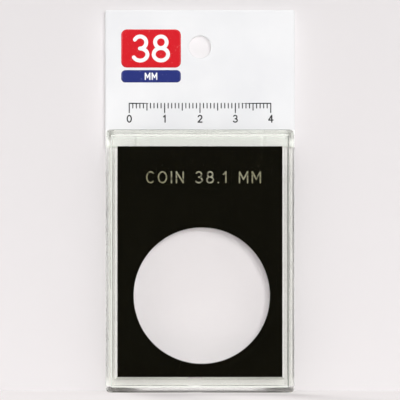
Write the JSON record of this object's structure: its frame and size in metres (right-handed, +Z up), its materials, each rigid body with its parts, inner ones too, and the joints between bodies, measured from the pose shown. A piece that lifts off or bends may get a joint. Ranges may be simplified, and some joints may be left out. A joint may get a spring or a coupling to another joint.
{
  "type": "plastic coin holder",
  "caption": "Upright snap-together coin holder: clear front and back covers close over a black insert with a round coin hole, under a white hang tab.",
  "frame": {"origin": "middle of the closed holder's bottom edge, on the face that it stands on, halfway through its thickness", "axes": "+X to the right across the width, +Y from the front face to the back, +Z up along the height towards the hang hole"},
  "size_m": [0.0536, 0.0076, 0.1078],
  "materials": {
    "clear_styrene": "polished clear moulded polystyrene",
    "black_insert": "satin black plastic sheet with a foil-stamped line",
    "white_sheet": "semi-matte white plastic sheet",
    "adhesive": "pressure-sensitive adhesive film"
  },
  "bodies": {
    "back": {"back_cover": "clear_styrene", "hang_tab": "white_sheet", "tab_adhesive": "adhesive"},
    "insert": {"coin_insert": "black_insert"},
    "front": {"front_cover": "clear_styrene"}
  },
  "joints": [
    {"name": "insert_slide", "type": "slide", "parent": "back", "child": "insert", "axis": [0, -1, 0], "range_m": [0, 0.015]},
    {"name": "cover_slide", "type": "slide", "parent": "insert", "child": "front", "axis": [0, -1, 0], "range_m": [0, 0.02]}
  ]
}
